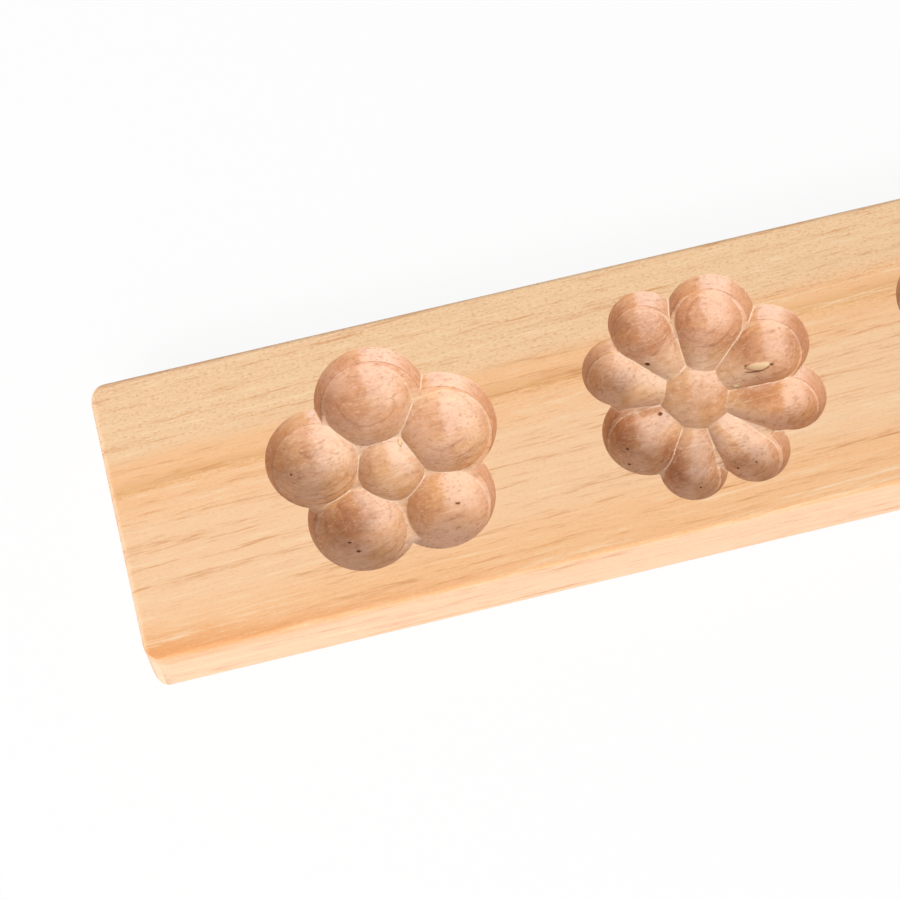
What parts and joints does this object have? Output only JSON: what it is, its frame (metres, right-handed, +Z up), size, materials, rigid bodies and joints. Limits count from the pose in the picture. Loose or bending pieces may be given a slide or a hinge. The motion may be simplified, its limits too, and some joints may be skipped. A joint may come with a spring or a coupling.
{
  "type": "wooden pastry mold",
  "caption": "Flat hardwood mold board with a row of carved flower hollows in its face, for pressing and shaping dough or pastry; one solid piece with eased edges.",
  "frame": {"origin": "middle of the flat back, under the middle flower, on the surface that the board lies on", "axes": "+X along the row of flowers, from the five-petal flower to the six-petal flower; +Y across the board; +Z up, out of the hollows"},
  "size_m": [0.248, 0.062, 0.02],
  "materials": {
    "wood": "bare pale hardwood, finely sanded on the outside and left from the cutter in the hollows"
  },
  "bodies": {
    "root": {"mold_board": "wood"}
  },
  "joints": []
}
